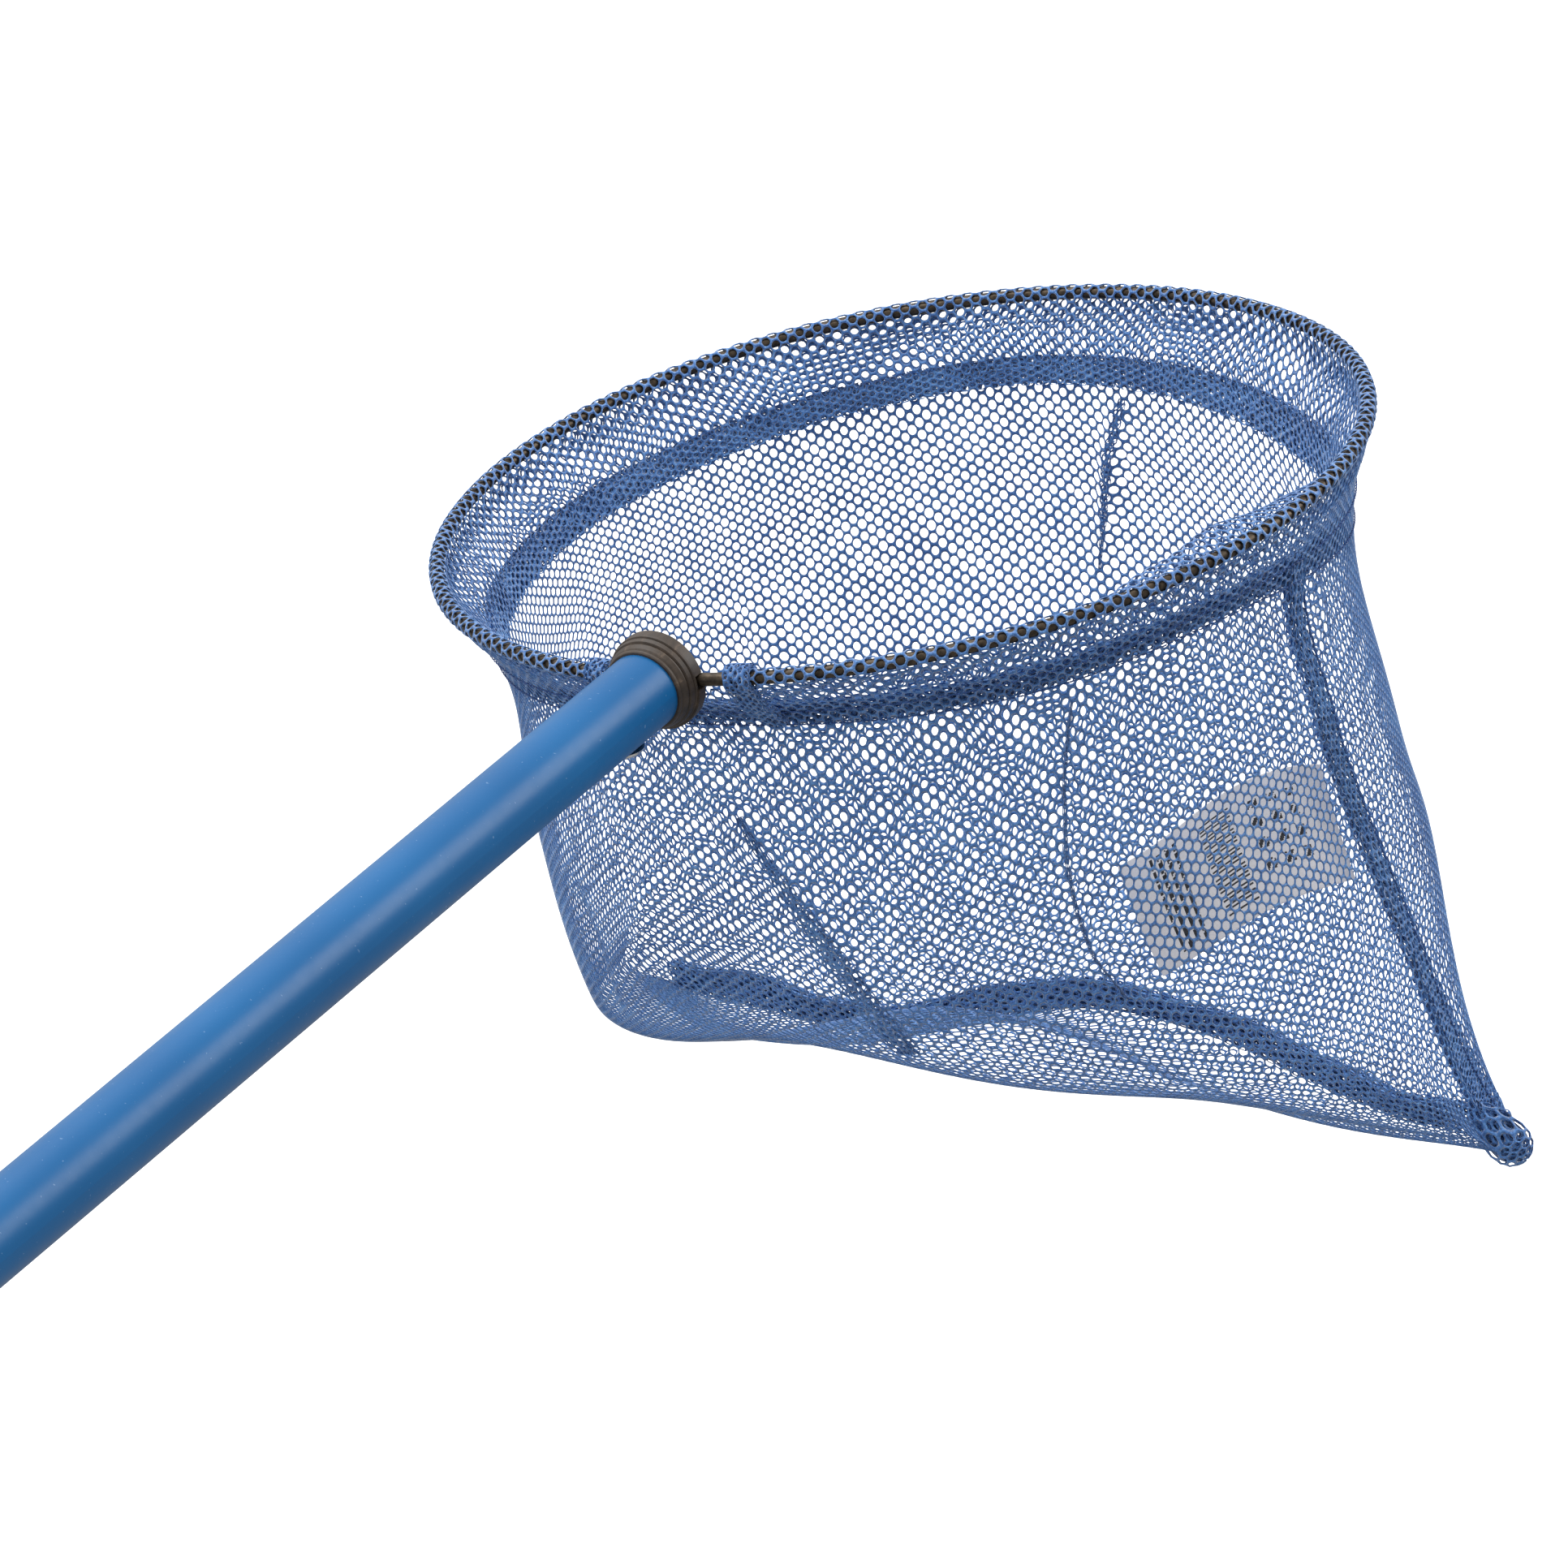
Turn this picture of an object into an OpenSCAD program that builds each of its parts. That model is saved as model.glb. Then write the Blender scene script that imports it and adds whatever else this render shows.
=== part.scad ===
// Hand skimmer net: a coated tube handle, a ribbed plug, a wire hoop and a sewn net bag.
// Lengths are in millimetres. The handle lies along Y and the bag hangs towards -Z.
// The origin is on the handle's axis, in the middle of the hand grip.

/* [Handle] */
// Length of the steel tube
tube_length = 600; // [450:10:1200]
// Outer diameter over the plastic coating
handle_d = 22; // [18:0.5:28]
// Thickness of the plastic coating
coating_t = 0.5; // [0.3:0.1:1]
// Wall of the steel tube
tube_wall = 0.7; // [0.5:0.1:1.2]
// Distance from the tube's butt end to the middle of the grip
grip_from_butt = 120; // [80:5:200]

/* [Hoop] */
// Radius of the hoop, to the middle of its wire
hoop_r = 137; // [110:1:170]
// Diameter of the hoop wire
wire_d = 3.8; // [3:0.1:5]
// Inside radius of the bends that take the wire into the plug
bend_r = 5; // [4:0.5:7]
// Distance between the two wire legs inside the tube
leg_gap = 9.2; // [8.8:0.1:10]
// Length of each straight leg
leg_length = 32; // [24:1:45]

/* [Plug] */
// Diameter of the plug's outer flange
flange_d = 28; // [26:0.5:32]
// Extra radius of the flange's lower half
flange_step = 0.5; // [0.2:0.1:0.8]
// Length of the plug that is inside the tube
plug_depth = 30; // [24:1:40]
// Distance from the tube's mouth to the middle of the hoop wire
neck_length = 8.2; // [7.6:0.1:10]

/* [Rivet] */
// Diameter of the blind rivet's shank
rivet_d = 4.8; // [4:0.2:4.8]
// Diameter of the rivet's head
rivet_head_d = 10.5; // [8:0.5:11]
// Distance from the tube's mouth to the rivet
rivet_set = 13.5; // [10:0.5:18]

/* [Net] */
// Depth of the bag at its pulled-out corner
bag_depth = 215; // [190:1:225]
// How much less deep the bag is at its rounded corner
depth_fall = 40; // [30:1:45]
// How far the pulled-out corner stands beyond the hoop's centre
corner_out = 187; // [170:1:190]
// How far the rounded corner stands beyond the hoop's centre
fold_out = 123; // [115:1:130]
// How much smaller than the hoop the hem's radius is
waist_in = 8; // [5:0.5:9]
// Thickness of the netting
net_t = 1; // [0.8:0.1:1.2]
// Height of the netting folded down over the wire, to the hem's lower edge
casing_drop = 27; // [24:1:30]
// Width of the sewn hem band
hem_w = 9; // [6:0.5:12]
// Bare wire left beside the plug, in degrees round the hoop
bare_wire = 2.8; // [1.5:0.1:4]

/* [Label] */
// Length of the care label, out from the side seam
label_l = 84; // [50:1:90]
// Width of the care label
label_w = 36; // [25:1:40]
// Depth of the label's upper edge below the hoop
label_drop = 88; // [75:1:95]
// Gap between the label and the netting that it hangs beside
label_gap = 5; // [4:0.5:8]

/* [End cap] */
// Outer diameter of the butt cap
cap_d = 25; // [24:0.5:28]
// Length of the cap over the tube
cap_cover = 34; // [25:1:45]
// Diameter of the hanging hole
hang_d = 7; // [5:0.5:8]
// Thickness of the hanging tab
tab_t = 6; // [5:0.5:8]

/* [Hidden] */

fit = 0.1;                       // gap between rigid pieces that fit together
cloth_gap = 0.35;                // gap between layers of netting
mouth_y = tube_length - grip_from_butt;
butt_y = -grip_from_butt;
hoop_y = mouth_y + neck_length + hoop_r;
handle_r = handle_d / 2;
tube_r = handle_r - coating_t;
bore_r = tube_r - tube_wall;
wire_r = wire_d / 2;
leg_x = leg_gap / 2;
rivet_y = mouth_y - rivet_set;
fine = 96;                       // facets of round rigid pieces
ring_fine = 240;                 // facets of the hoop

// ---- rigid pieces ------------------------------------------------------------------------

// A cylinder along Y, from y0 to y1
module along_y(r, y0, y1) {
    translate([0, y0, 0]) rotate([-90, 0, 0]) cylinder(r = r, h = y1 - y0, $fn = fine);
}

// A hole in the tube wall for the rivet, open at the underside
module rivet_hole(r) {
    translate([0, rivet_y, -handle_r - 1]) cylinder(r = r, h = handle_r + 3, $fn = 48);
}

module handle_tube() {
    color("silver") difference() {
        along_y(tube_r, butt_y, mouth_y);
        along_y(bore_r, butt_y - 1, mouth_y + 1);
        rivet_hole(rivet_d / 2 + fit);
    }
}

module handle_coating() {
    color("dodgerblue") difference() {
        along_y(handle_r, butt_y, mouth_y);
        along_y(tube_r, butt_y - 1, mouth_y + 1);
        rivet_hole(rivet_d / 2 + fit);
    }
}

// The butt cap: a cup over the coating, a tapering shoulder and a flat tab with a round hole
module end_cap() {
    cap_r = cap_d / 2;
    shoulder_y = butt_y - 3;
    tab_y = butt_y - 19;
    color("dimgray") difference() {
        union() {
            translate([0, butt_y + cap_cover, 0]) rotate([90, 0, 0]) rotate_extrude($fn = fine)
                polygon([[handle_r + fit, 0], [cap_r - 0.6, 0], [cap_r, 0.8], [cap_r, 4],
                         [cap_r - 0.5, 4.5], [cap_r - 0.5, 5.5], [cap_r, 6],
                         [cap_r, cap_cover + 1], [cap_r - 0.8, cap_cover + 3.2],
                         [cap_r - 2.6, cap_cover + 5.2], [tab_t / 2, cap_cover + 6.2],
                         [0, cap_cover + 6.2], [0, cap_cover + fit], [handle_r + fit, cap_cover + fit]]);
            intersection() {
                translate([-cap_r, tab_y, -tab_t / 2]) cube([cap_d, shoulder_y - tab_y, tab_t]);
                union() {
                    translate([0, tab_y + 8.5, -tab_t]) cylinder(r = 8.5, h = 2 * tab_t, $fn = fine);
                    translate([-8.5, tab_y + 8.5, -tab_t]) cube([17, 12, 2 * tab_t]);
                }
            }
        }
        translate([0, tab_y + 8.5, -tab_t]) cylinder(d = hang_d, h = 2 * tab_t, $fn = 64);
    }
}

// The plug: stepped ribs that widen away from the tube, and a stem inside it. The wire lies in
// a slot that is open at the outer face, and its legs run down two bores.
module hoop_plug() {
    stem_r = bore_r - fit;
    rim_r = flange_d / 2;
    face = neck_length + wire_r + 0.4;
    wire_y = mouth_y + neck_length;
    color("#3a332c") difference() {
        union() {
            translate([0, mouth_y, 0]) rotate([-90, 0, 0]) rotate_extrude($fn = fine)
                polygon([[0, -plug_depth], [stem_r - 1, -plug_depth], [stem_r, 1 - plug_depth],
                         [stem_r, 0], [handle_r + 0.6, 0], [handle_r + 0.9, 0.3],
                         [handle_r + 1, 0.9], [handle_r + 0.7, 1.3], [handle_r + 1.2, 1.8],
                         [rim_r - 1.2, 2.9], [rim_r - 1.2, 3.3], [rim_r - 1.6, 3.6],
                         [rim_r - 0.7, 3.9], [rim_r - 0.4, 5.2], [rim_r - 0.8, 5.5],
                         [rim_r - 0.1, 5.8], [rim_r, 6.4], [rim_r, face - 1],
                         [rim_r - 1, face - 0.2], [rim_r - 4, face], [0, face]]);
            intersection() {
                along_y(rim_r + flange_step, mouth_y + 6.1, mouth_y + face - 1.2);
                translate([-rim_r - 1, mouth_y, -rim_r - 1])
                    cube([flange_d + 2, 20, rim_r + 1 - wire_r - fit]);
            }
        }
        translate([-rim_r - 1, wire_y - wire_r - fit, -wire_r - fit])
            cube([flange_d + 2, 10, wire_d + 2 * fit]);
        for (side = [-1, 1]) {
            translate([side * leg_x, mouth_y - plug_depth - 1, 0]) rotate([-90, 0, 0])
                cylinder(r = wire_r + fit, h = plug_depth + neck_length, $fn = 48);
            translate([side * (leg_x + bend_r / 2), wire_y - bend_r / 2 - 1, 0])
                cube([bend_r + 3, bend_r + 3.4, wire_d + 2 * fit], center = true);
        }
        translate([0, rivet_y, -handle_r]) cylinder(r = rivet_d / 2 + fit, h = handle_r + 4, $fn = 48);
    }
}

// The wire: the hoop's arc, and at each end a bend and a straight leg. The bends are a hair
// thinner and run a little way into their neighbours, so that the wire is one solid.
module hoop_wire() {
    bend_x = leg_x + bend_r;
    bend_y = -sqrt(pow(hoop_r + bend_r, 2) - bend_x * bend_x);
    half_gap = asin(bend_x / (hoop_r + bend_r));
    lap = 3;
    color("#4a4640") translate([0, hoop_y, 0]) {
        rotate([0, 0, half_gap - 90]) rotate_extrude(angle = 360 - 2 * half_gap, $fn = ring_fine)
            translate([hoop_r, 0]) circle(r = wire_r, $fn = 32);
        for (side = [0, 1]) mirror([side, 0, 0]) {
            translate([bend_x, bend_y, 0]) rotate([0, 0, 90 + half_gap - lap])
                rotate_extrude(angle = 90 - half_gap + 2 * lap, $fn = 96)
                    translate([bend_r, 0]) circle(r = wire_r - 0.02, $fn = 32);
            translate([leg_x, bend_y, 0]) rotate([90, 0, 0])
                cylinder(r = wire_r, h = leg_length, $fn = 32);
        }
    }
}

// The rivet's hollow shell, set from the underside
module rivet_shell() {
    head_z = -handle_r - 0.05;
    color("lightgray") translate([0, rivet_y, head_z]) rotate_extrude($fn = 64)
        polygon([[1.35, 12], [1.35, -2], [2.1, -2], [rivet_head_d / 2 - 1.6, -1.6],
                 [rivet_head_d / 2 - 0.4, -0.8], [rivet_head_d / 2, 0], [rivet_d / 2, 0],
                 [rivet_d / 2, 12]]);
}

// The broken-off stem and head that the rivet keeps inside it
module rivet_mandrel() {
    color("gray") translate([0, rivet_y, -handle_r]) {
        translate([0, 0, -1.6]) cylinder(r = 1.25, h = 13.8, $fn = 48);
        translate([0, 0, 12.1]) cylinder(r1 = 2.2, r2 = 1.6, h = 1.6, $fn = 48);
    }
}

// ---- the cloth surface ---------------------------------------------------------------------
// A place on the bag is (u, v): u in degrees round the hoop from the side seam, v from 0 at the
// hoop to 1 at the bottom seam.

function bell(x, middle, spread) = exp(-pow((x - middle) / spread, 2));

// A point of the bottom seam, s from 0 at the pulled-out corner to 1 at the rounded corner
function keel(s) = [
    corner_out - (corner_out + fold_out) * s - 24 * bell(s, 0, 0.055),
    17.5 + 20.5 * bell(s, 0.4, 0.16) - 21.5 * bell(s, 0.75, 0.2) - 11 * bell(s, 1, 0.12)
        - 7 * bell(s, 0, 0.1) - 10 * bell(s, 0.38, 0.25),
    -bag_depth + depth_fall * s + 16.5 * bell(s, 0.55, 0.15) - 2.5 * bell(s, 0, 0.07)
        - 4 * bell(s, 0.32, 0.22)];

// Places where the cloth hangs in or stands out: middle u and v, spreads, and the move there
PUSHES = [[205, 0.22, 60, 0.16, [4.5, 5.5, -6.5]],
          [212, 0.78, 36, 0.25, [-14.5, -5.5, 9.5]],
          [262, 0.85, 30, 0.22, [-2.5, 4, 16]],
          [310, 0.78, 34, 0.22, [-4, 4, 16]],
          [345, 0.35, 30, 0.22, [-13, 8, 21]],
          [40, 0.24, 40, 0.16, [-0.5, -12.5, -18]],
          [30, 0.75, 30, 0.25, [-9, 7.5, 17]],
          [180, 0.5, 40, 0.25, [8, -4, -20]],
          [285, 0.08, 45, 0.07, [-1, 8, 4]]];

function turn_between(a, b) = (a - b + 540) % 360 - 180;

function pushed(u, v, i = 0) = i == len(PUSHES) ? [0, 0, 0] :
    PUSHES[i][4] * (exp(-pow(turn_between(u, PUSHES[i][0]) / PUSHES[i][2], 2)
        - pow((v - PUSHES[i][1]) / PUSHES[i][3], 2)) * min(1, v / 0.08) * min(1, (1 - v) / 0.1))
    + pushed(u, v, i + 1);

// How far the hem draws the cloth in at each level
function waist(v) = waist_in * bell(v, 0.105, 0.093) * min(1, v / 0.05);

// The surface; a wall above 0 gives the inside of netting of that thickness
function cloth(u, v, wall = 0) =
    let (s = (u <= 180 ? u : 360 - u) / 180, k = keel(s), t = 90 * v)
    let (left = pow(max(cos(t), 0.0001), 0.63), r = hoop_r - waist(v) - wall / max(left, 0.12))
    let (tuck = wall * 3 * (1 - left) * (1 - 2 * s))
    [r * cos(u) * left + (k[0] - tuck) * (1 - left),
     r * sin(u) * left + k[1] * (1 - left),
     (k[2] + 2 * wall) * sin(t)] + pushed(u, v);

function unit(a) = a / norm(a);

// The outward normal of the surface
function cloth_normal(u, v) =
    let (w = min(max(v, 0.01), 0.97))
    unit(cross(cloth(u + 1, w) - cloth(u - 1, w), cloth(u, w - 0.01) - cloth(u, w + 0.01)));

// A place beside the netting: out is measured from its outer face, or inwards from its inner face
function beside(u, v, out) = cloth(u, v, out < 0 ? net_t : 0) + out * cloth_normal(u, v);

// Angle and level steps
function steps(a, b, n) = [for (i = [0:n]) a + (b - a) * i / n];

// The facet columns from angle a to angle b
function columns(a, b) = [for (u = [a:column:b]) u];

// A slab between two grids of points; each grid is a list of rows of equal length
module slab(inside, outside) {
    nu = len(inside) - 1;
    nv = len(inside[0]) - 1;
    row = nv + 1;
    side = (nu + 1) * row;
    points = [for (grid = [inside, outside], line = grid, point = line) point];
    skins = [for (i = [0:nu - 1], j = [0:nv - 1]) let (a = i * row + j) each [
             [a, a + 1, a + row + 1, a + row],
             [side + a, side + a + row, side + a + row + 1, side + a + 1]]];
    edges = [for (i = [0:nu - 1], e = [0, 1]) let (a = i * row + e * nv, b = a + row)
             e == 0 ? [a, b, side + b, side + a] : [a, side + a, side + b, b]];
    ends = [for (j = [0:nv - 1], e = [0, 1]) let (a = e * nu * row + j, b = a + 1)
            e == 0 ? [a, side + a, side + b, b] : [a, b, side + b, side + a]];
    translate([0, hoop_y, 0]) polyhedron(points, concat(skins, edges, ends), convexity = 6);
}

// One strip of cloth over the angles us and the levels vs, between two distances from the netting
module cloth_patch(us, vs, out0, out1) {
    grids = [for (out = [out0, out1]) [for (u = us) [for (v = vs) beside((u + 360) % 360, v, out)]]];
    slab(grids[0], grids[1]);
}

// ---- the net -----------------------------------------------------------------------------

// The level at a depth below the hoop
function level_at(depth) = asin(depth / (bag_depth - depth_fall / 2)) / 90;

bag_top = level_at(4.4);         // where the bag's own wall starts, under the wire
skirt_v = level_at(casing_drop - hem_w);
hem_v = level_at(casing_drop);
column = 5;                      // degrees between the columns of the bag's facets
hem_levels = steps(skirt_v, hem_v, 4);
upper_levels = concat([bag_top, (bag_top + skirt_v) / 2], hem_levels);
inner_levels = concat(upper_levels, steps(0.115, 0.9, 16));
floor_out = 0.99;                // level of the last row of the outer face
floor_in = 0.965;                // level of the last row of the inner face
plug_u = 270;                    // direction of the plug, seen from the hoop's centre
plug_half = asin((flange_d / 2 + flange_step + 0.7) / hoop_r);
sleeve_start = plug_u + plug_half + bare_wire;
sleeve_sweep = 360 - 2 * plug_half - bare_wire;
notch_half = 8;                  // degrees to each side of the plug where the bag starts lower
sleeve_r = wire_r + fit + 0.7;   // outer radius of the netting wrapped round the wire
bunch_sweep = 3.2;               // degrees that each bunched end of the wrapped netting takes
bunch_t = 1.4;                   // thickness of a bunched end

// The level of a facet row; beside the plug the bag's top is notched down to the hem band
function row_level(v, j, u) = j < len(upper_levels) && abs(turn_between(u, plug_u)) < notch_half ?
    skirt_v + (hem_v - skirt_v) * j / (len(upper_levels) - 1) : v;

// The bag: an open-topped shell whose front and back meet along the bottom seam
module net_bag() {
    nu = 360 / column;
    outer_v = concat(inner_levels, [0.94, 0.97, floor_out]);
    inner_v = concat(inner_levels, [0.94, floor_in]);
    outer = [for (j = [0:len(outer_v) - 1], u = [0:column:359]) cloth(u, row_level(outer_v[j], j, u))];
    inner = [for (j = [0:len(inner_v) - 1], u = [0:column:359]) cloth(u, row_level(inner_v[j], j, u), net_t)];
    base = len(outer);
    last_out = (len(outer_v) - 1) * nu;
    last_in = base + (len(inner_v) - 1) * nu;
    walls = [for (j = [0:len(outer_v) - 2], i = [0:nu - 1]) let (a = j * nu + i, b = j * nu + (i + 1) % nu)
             each [[a, b, b + nu], [a, b + nu, a + nu]]];
    lining = [for (j = [0:len(inner_v) - 2], i = [0:nu - 1])
              let (a = base + j * nu + i, b = base + j * nu + (i + 1) % nu)
              each [[a, b + nu, b], [a, a + nu, b + nu]]];
    rim = [for (i = [0:nu - 1]) let (k = (i + 1) % nu) each [[i, base + k, k], [i, base + i, base + k]]];
    keel_out = zip_faces(last_out, nu, false);
    keel_in = zip_faces(last_in, nu, true);
    color("royalblue") translate([0, hoop_y, 0])
        polyhedron(concat(outer, inner), concat(walls, lining, rim, keel_out, keel_in), convexity = 8);
}

// Faces that close a loop of n points, joining its front half to its back half
function zip_faces(first, n, flip) = [for (i = [0:n / 2 - 1])
    let (a = first + i, b = first + i + 1, c = first + (n - i - 1) % n, d = first + (n - i) % n)
    each [for (f = (i == 0 ? [[a, b, c]] : i == n / 2 - 1 ? [[a, b, d]] : [[a, b, c], [a, c, d]]))
          flip ? [f[0], f[2], f[1]] : f]];

// A tube round the wire, over part of the hoop
module wire_cover(start, sweep, inner_r, outer_r) {
    color("royalblue") translate([0, hoop_y, 0]) rotate([0, 0, start])
        rotate_extrude(angle = sweep, $fn = ring_fine) translate([hoop_r, 0]) difference() {
            circle(r = outer_r, $fn = 32);
            circle(r = inner_r, $fn = 32);
        }
}

// The netting wrapped round the wire
module rim_sleeve() {
    wire_cover(sleeve_start, sleeve_sweep, wire_r + fit, sleeve_r);
}

// The bunched, overlocked ends of the wrapped netting, one each side of the plug
module casing_ends() {
    inner_r = sleeve_r + 0.05;
    for (start = [sleeve_start, sleeve_start + sleeve_sweep - bunch_sweep])
        wire_cover(start, bunch_sweep, inner_r, inner_r + bunch_t);
}

// The inner layer of the folded netting, from below the wire to the hem
module fold_down() {
    color("royalblue") cloth_patch(columns(plug_u + 2 * column, plug_u + 360 - 2 * column),
        [0.03, (bag_top + skirt_v) / 2, skirt_v - 0.003], -2 * cloth_gap - 0.6, -2 * cloth_gap);
}

// The rolled hem, sewn to the bag all round
module hem_band() {
    color("mediumblue") cloth_patch(columns(column, 360 - column), hem_levels,
        -cloth_gap - 1.5, -cloth_gap);
}

// A row of stitches that shows on the outside of the bag
module stitch_row(us, vs) {
    cloth_patch(us, vs, cloth_gap, 2 * cloth_gap);
}

module hem_stitching() {
    color("navy") for (v = [hem_levels[0] + 0.002, hem_levels[3] + 0.002])
        stitch_row(columns(column, 360 - column), [v, v + 0.003]);
}

seam_levels = [for (v = inner_levels) if (v > hem_v && v < 0.86) v];

// Seam allowance of the side seam, inside the bag
module side_seam() {
    color("mediumblue") cloth_patch([-2.4, 0, 1.6], seam_levels, -cloth_gap - 1.2, -cloth_gap);
}

module side_stitching() {
    color("navy") stitch_row([0.6, 0.9], seam_levels);
}

// A point of the bag's floor midway between the front and back walls, moved by dy and dz
function keel_floor(u, level, wall, dy, dz) =
    (cloth(u, level, wall) + cloth(360 - u, level, wall)) / 2 + [0, dy, dz];

// Seam allowance of the bottom seam, standing on the bag's floor
module bottom_seam() {
    us = columns(4 * column, 180 - 2 * column);
    sides = [for (dy = [-0.6, 0.6]) [for (u = us) [for (dz = [cloth_gap, 4, 7.5])
             keel_floor(u, floor_in, net_t, dy, dz)]]];
    color("mediumblue") slab(sides[0], sides[1]);
}

module bottom_stitching() {
    us = columns(4 * column, 180 - 2 * column);
    sides = [for (dz = [-2 * cloth_gap, -cloth_gap]) [for (u = us) [for (dy = [-0.4, 0.4])
             keel_floor(u, floor_out, 0, dy, dz)]]];
    color("navy") slab(sides[0], sides[1]);
}

// The label: a thin strip, sewn in at the side seam and hanging inside the bag's front
module care_label() {
    thick = 0.4;
    sewn_u = 357.5;
    turn = label_l / (hoop_r - waist_in) * 180 / PI;
    color("gainsboro") cloth_patch(steps(sewn_u - turn, sewn_u, 12),
        steps(level_at(label_drop), level_at(label_drop + label_w), 3), -label_gap - thick, -label_gap);
}

handle_tube();
handle_coating();
end_cap();
hoop_plug();
hoop_wire();
rivet_shell();
rivet_mandrel();
net_bag();
rim_sleeve();
casing_ends();
fold_down();
hem_band();
hem_stitching();
side_seam();
side_stitching();
bottom_seam();
bottom_stitching();
care_label();
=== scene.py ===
"""Looks of a hand skimmer net: knitted netting built strand by strand, and a material for every piece."""
import math

import bpy
import numpy as np
from mathutils import Matrix, Vector


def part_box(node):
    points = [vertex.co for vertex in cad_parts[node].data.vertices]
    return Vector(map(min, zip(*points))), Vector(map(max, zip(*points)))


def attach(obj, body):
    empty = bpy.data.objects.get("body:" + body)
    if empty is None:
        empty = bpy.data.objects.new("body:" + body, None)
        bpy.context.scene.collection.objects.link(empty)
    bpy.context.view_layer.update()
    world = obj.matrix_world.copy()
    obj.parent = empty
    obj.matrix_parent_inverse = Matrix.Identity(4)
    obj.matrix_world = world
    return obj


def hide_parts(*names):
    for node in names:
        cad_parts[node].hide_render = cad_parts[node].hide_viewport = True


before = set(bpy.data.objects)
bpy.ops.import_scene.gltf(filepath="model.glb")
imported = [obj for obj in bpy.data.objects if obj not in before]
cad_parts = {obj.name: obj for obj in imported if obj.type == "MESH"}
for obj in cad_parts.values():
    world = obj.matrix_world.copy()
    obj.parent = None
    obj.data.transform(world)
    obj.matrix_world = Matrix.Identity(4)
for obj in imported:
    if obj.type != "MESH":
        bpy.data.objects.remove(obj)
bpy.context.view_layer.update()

MM = 0.001
rng = np.random.default_rng(7)

# ---- sizes from the frame, in millimetres ---------------------------------------------------

wire_low, wire_high = (np.array(c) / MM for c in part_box("hoop_wire"))
WIRE_R = (wire_high[2] - wire_low[2]) / 2
HOOP_R = (wire_high[0] - wire_low[0]) / 2 - WIRE_R
HOOP_Y = wire_high[1] - WIRE_R - HOOP_R
HOOP_CENTRE = np.array([0.0, HOOP_Y, 0.0])

# ---- the cloth surface: cloth() is as in the part's source, and the creases are only here ------

BAG_DEPTH, DEPTH_FALL = 215, 40       # depth at the pulled-out corner, and how much less at the rounded one
CORNER_OUT, FOLD_OUT = 187, 123       # how far out the bottom seam's two ends are, before its waves
SEAM_BACK = 17.5      # how far behind the hoop's middle the bottom seam runs
# Waves of the bottom seam outwards, backwards and upwards: height, then middle and spread along the seam
SEAM_OUT_WAVES = [(-24, 0, 0.055)]
SEAM_BACK_WAVES = [(20.5, 0.4, 0.16), (-21.5, 0.75, 0.2), (-11, 1, 0.12), (-7, 0, 0.1), (-10, 0.38, 0.25)]
SEAM_UP_WAVES = [(16.5, 0.55, 0.15), (-2.5, 0, 0.07), (-4, 0.32, 0.22)]
WALL_ROUNDING = 0.63  # how soon the walls turn in below the hoop
WAIST_IN, WAIST_V, WAIST_SPREAD, WAIST_STARTS = 8, 0.105, 0.093, 0.05     # the wall's waist under the casing
PUSH_STARTS, PUSH_ENDS = 0.08, 0.1    # share of v over which the pushes die away at the hoop and the seam
CASING_DROP, HEM_W = 27, 9
PLUG_HALF = 6.35      # degrees round the hoop that the plug takes, to each side
BARE_WIRE = 2.8       # degrees of bare wire beside the plug
# Places where the cloth hangs in or stands out: middle u and v, spreads, and the move there
PUSHES = [(205, 0.22, 60, 0.16, (4.5, 5.5, -6.5)),
          (212, 0.78, 36, 0.25, (-14.5, -5.5, 9.5)),
          (262, 0.85, 30, 0.22, (-2.5, 4, 16)),
          (310, 0.78, 34, 0.22, (-4, 4, 16)),
          (345, 0.35, 30, 0.22, (-13, 8, 21)),
          (40, 0.24, 40, 0.16, (-0.5, -12.5, -18)),
          (30, 0.75, 30, 0.25, (-9, 7.5, 17)),
          (180, 0.5, 40, 0.25, (8, -4, -20)),
          (285, 0.08, 45, 0.07, (-1, 8, 4))]
# Creases in the netting: places (u, v) along each, half width and height of the ridge in mm, and for a fold
# the widths at its two ends of the strip where the netting lies doubled over itself
CREASES = [([(273, 0.165), (277, 0.216), (279.5, 0.268), (281, 0.323), (282, 0.4), (282.5, 0.5)],
            4.5, 3.0, (3, 11)),
           ([(318.5, 0.1), (315.4, 0.166), (313, 0.232), (312, 0.3), (312, 0.36), (314, 0.43)],
            1.9, 2.5, (1.4, 1.2)),
           ([(90, 0.1), (94, 0.17), (96.5, 0.24), (99, 0.32)], 3.4, -4.0, (5, 1.2)),
           ([(264, 0.22), (255, 0.28), (247, 0.38)], 6.0, 4.0, None),
           ([(350, 0.12), (351, 0.2), (348, 0.28)], 2.5, 2.5, None),
           ([(236, 0.3), (232, 0.42), (228, 0.55)], 5.0, -4.0, None),
           ([(300, 0.8), (296, 0.87), (290, 0.93)], 6.0, 1.5, None),
           ([(62, 0.12), (60, 0.2), (60, 0.3)], 3.5, 3.5, None),
           ([(150, 0.2), (146, 0.34), (148, 0.5)], 5.0, 4.0, None)]


def bell(x, middle, spread):
    return np.exp(-((x - middle) / spread) ** 2)


def with_waves(value, waves, s):
    for height, middle, spread in waves:
        value = value + height * bell(s, middle, spread)
    return value


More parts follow.
